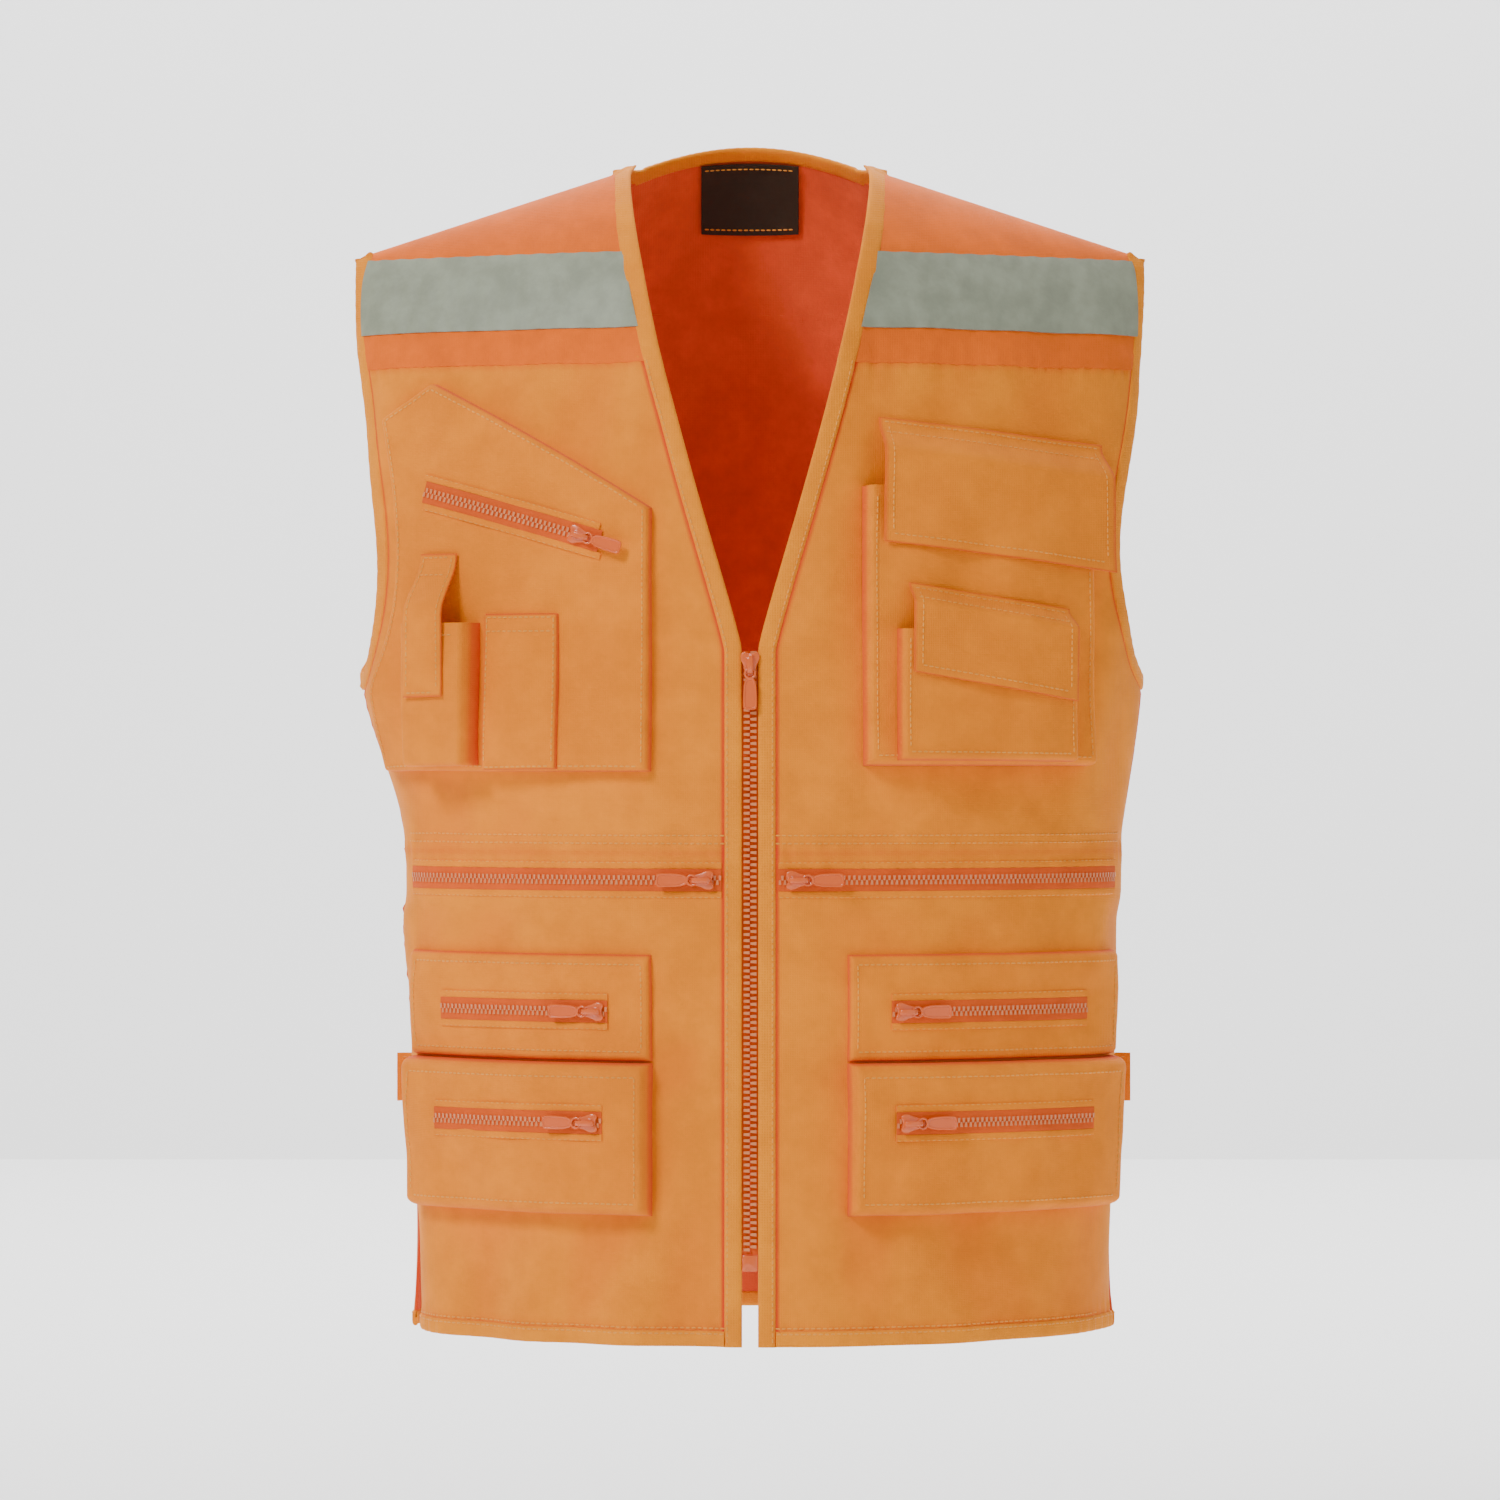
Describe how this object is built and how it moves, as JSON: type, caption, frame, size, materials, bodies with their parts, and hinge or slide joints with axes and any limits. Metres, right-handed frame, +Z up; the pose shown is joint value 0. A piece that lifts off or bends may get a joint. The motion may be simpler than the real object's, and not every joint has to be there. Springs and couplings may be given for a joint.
{
  "type": "hunting vest",
  "caption": "Blaze orange sleeveless field vest with zip front, bound edges, reflective shoulder tape, flap and zip pockets.",
  "frame": {"origin": "the middle of the shoulder line's height at the neck, on the midline, where the shoulders carry the vest", "axes": "+Z up, +X towards the wearer's left, -Y the front"},
  "size_m": [0.459, 0.2595, 0.6926],
  "materials": {
    "body_cloth": "plain weave, soft, slightly brushed",
    "pocket_cloth": "plain weave, soft, slightly brushed",
    "yoke_cloth": "plain weave, a little deeper in colour",
    "binding": "folded binding tape, fine rib",
    "reflective_tape": "silver grey, fine glass-bead sheen",
    "label": "satin weave, blank",
    "zip_tape": "twill tape with moulded teeth",
    "zip_hardware": "glossy paint"
  },
  "bodies": {
    "back": {"back_panel": "body_cloth", "back_yoke": "yoke_cloth", "front_yoke_right": "yoke_cloth", "front_yoke_left": "yoke_cloth", "reflective_tape_right": "reflective_tape", "reflective_tape_left": "reflective_tape", "reflective_tape_back": "reflective_tape", "neck_label": "label", "neck_binding": "binding", "armhole_binding_right": "binding", "armhole_binding_left": "binding", "hem_binding_back": "binding", "side_tab_right": "pocket_cloth", "side_tab_left": "pocket_cloth"},
    "right_front": {"front_upper_right": "body_cloth", "front_lower_right": "body_cloth", "front_edge_binding_right": "binding", "hem_binding_right": "binding", "main_zip_right": "zip_tape", "waist_zip_right": "zip_tape", "flat_pocket_right": "pocket_cloth", "flat_zip_right": "zip_tape", "bellows_pocket_right": "pocket_cloth", "bellows_zip_right": "zip_tape", "chest_pocket_right": "pocket_cloth", "chest_zip_right": "zip_tape", "phone_pocket": "pocket_cloth", "pen_pocket": "pocket_cloth"},
    "left_front": {"front_upper_left": "body_cloth", "front_lower_left": "body_cloth", "front_edge_binding_left": "binding", "hem_binding_left": "binding", "main_zip_left": "zip_tape", "waist_zip_left": "zip_tape", "flat_pocket_left": "pocket_cloth", "flat_zip_left": "zip_tape", "bellows_pocket_left": "pocket_cloth", "bellows_zip_left": "zip_tape", "chest_pocket_left": "pocket_cloth", "small_pocket": "pocket_cloth", "zip_box": "zip_tape"},
    "main_slider": {"main_slider": "zip_hardware"},
    "main_pull": {"main_pull": "zip_hardware"},
    "waist_right_slider": {"waist_right_slider": "zip_hardware"},
    "waist_right_pull": {"waist_right_pull": "zip_hardware"},
    "flat_right_slider": {"flat_right_slider": "zip_hardware"},
    "flat_right_pull": {"flat_right_pull": "zip_hardware"},
    "bellows_right_slider": {"bellows_right_slider": "zip_hardware"},
    "bellows_right_pull": {"bellows_right_pull": "zip_hardware"},
    "waist_left_slider": {"waist_left_slider": "zip_hardware"},
    "waist_left_pull": {"waist_left_pull": "zip_hardware"},
    "flat_left_slider": {"flat_left_slider": "zip_hardware"},
    "flat_left_pull": {"flat_left_pull": "zip_hardware"},
    "bellows_left_slider": {"bellows_left_slider": "zip_hardware"},
    "bellows_left_pull": {"bellows_left_pull": "zip_hardware"},
    "chest_slider": {"chest_slider": "zip_hardware"},
    "chest_pull": {"chest_pull": "zip_hardware"},
    "phone_strap": {"phone_strap": "pocket_cloth"},
    "chest_flap": {"chest_flap": "pocket_cloth"},
    "small_flap": {"small_flap": "pocket_cloth"}
  },
  "joints": [
    {"name": "right_front_swing", "type": "hinge", "parent": "back", "child": "right_front", "pos_m": [-0.226, 0, -0.4], "axis": [0, 0, -1], "range_deg": [0, 20]},
    {"name": "left_front_swing", "type": "hinge", "parent": "back", "child": "left_front", "pos_m": [0.226, 0, -0.4], "axis": [0, 0, 1], "range_deg": [0, 20]},
    {"name": "main_slider_run", "type": "slide", "parent": "left_front", "child": "main_slider", "axis": [0, 0, -1], "range_m": [0, 0.32]},
    {"name": "main_pull_turn", "type": "hinge", "parent": "main_slider", "child": "main_pull", "pos_m": [0, -0.1258, -0.2866], "axis": [-1, 0, 0], "range_deg": [0, 140]},
    {"name": "waist_right_slider_run", "type": "hinge", "parent": "right_front", "child": "waist_right_slider", "pos_m": [0.008, 0.15693, -0.405], "axis": [0, 0, -1], "range_deg": [0, 28]},
    {"name": "waist_right_pull_turn", "type": "hinge", "parent": "waist_right_slider", "child": "waist_right_pull", "pos_m": [-0.03022, -0.12453, -0.405], "axis": [0, -0.0002, 1], "range_deg": [0, 140]},
    {"name": "flat_right_slider_run", "type": "hinge", "parent": "right_front", "child": "flat_right_slider", "pos_m": [0.008, 0.15199, -0.479], "axis": [0, 0, -1], "range_deg": [0, 14]},
    {"name": "flat_right_pull_turn", "type": "hinge", "parent": "flat_right_slider", "child": "flat_right_pull", "pos_m": [-0.09218, -0.11472, -0.47907], "axis": [-0.0021, -0.0056, 1], "range_deg": [0, 140]},
    {"name": "bellows_right_slider_run", "type": "hinge", "parent": "right_front", "child": "bellows_right_slider", "pos_m": [0.008, 0.14527, -0.541], "axis": [0, 0, -1], "range_deg": [0, 15]},
    {"name": "bellows_right_pull_turn", "type": "hinge", "parent": "bellows_right_slider", "child": "bellows_right_pull", "pos_m": [-0.09543, -0.12264, -0.54114], "axis": [-0.0025, -0.0066, 1], "range_deg": [0, 140]},
    {"name": "waist_left_slider_run", "type": "hinge", "parent": "left_front", "child": "waist_left_slider", "pos_m": [0.008, 0.15693, -0.405], "axis": [0, 0, 1], "range_deg": [0, 28]},
    {"name": "waist_left_pull_turn", "type": "hinge", "parent": "waist_left_slider", "child": "waist_left_pull", "pos_m": [0.02994, -0.12626, -0.405], "axis": [0, 0.0001, -1], "range_deg": [0, 140]},
    {"name": "flat_left_slider_run", "type": "hinge", "parent": "left_front", "child": "flat_left_slider", "pos_m": [0.008, 0.15199, -0.479], "axis": [0, 0, 1], "range_deg": [0, 18]},
    {"name": "flat_left_pull_turn", "type": "hinge", "parent": "flat_left_slider", "child": "flat_left_pull", "pos_m": [0.09159, -0.12037, -0.47904], "axis": [-0.0012, 0.0039, -1], "range_deg": [0, 140]},
    {"name": "bellows_left_slider_run", "type": "hinge", "parent": "left_front", "child": "bellows_left_slider", "pos_m": [0.008, 0.14527, -0.541], "axis": [0, 0, 1], "range_deg": [0, 19]},
    {"name": "bellows_left_pull_turn", "type": "hinge", "parent": "bellows_left_slider", "child": "bellows_left_pull", "pos_m": [0.09429, -0.12864, -0.5411], "axis": [-0.0014, 0.0046, -1], "range_deg": [0, 140]},
    {"name": "chest_slider_run", "type": "hinge", "parent": "right_front", "child": "chest_slider", "pos_m": [-0.0036, 0.21483, -0.25075], "axis": [-0.2964, -0.0301, -0.9546], "range_deg": [0, 13.1]},
    {"name": "chest_pull_turn", "type": "hinge", "parent": "chest_slider", "child": "chest_pull", "pos_m": [-0.09341, -0.12225, -0.21253], "axis": [-0.279, 0.0663, -0.958], "range_deg": [0, 140]},
    {"name": "phone_strap_lift", "type": "hinge", "parent": "right_front", "child": "phone_strap", "pos_m": [-0.17596, -0.08375, -0.22079], "axis": [-0.8521, 0.5234, -0.0013], "range_deg": [0, 100]},
    {"name": "chest_flap_lift", "type": "hinge", "parent": "left_front", "child": "chest_flap", "pos_m": [0.13716, -0.09004, -0.15091], "axis": [-0.9076, -0.409, 0.0944], "range_deg": [0, 130]},
    {"name": "small_flap_lift", "type": "hinge", "parent": "left_front", "child": "small_flap", "pos_m": [0.13528, -0.11141, -0.24512], "axis": [-0.9077, -0.3956, 0.14], "range_deg": [0, 125]}
  ]
}
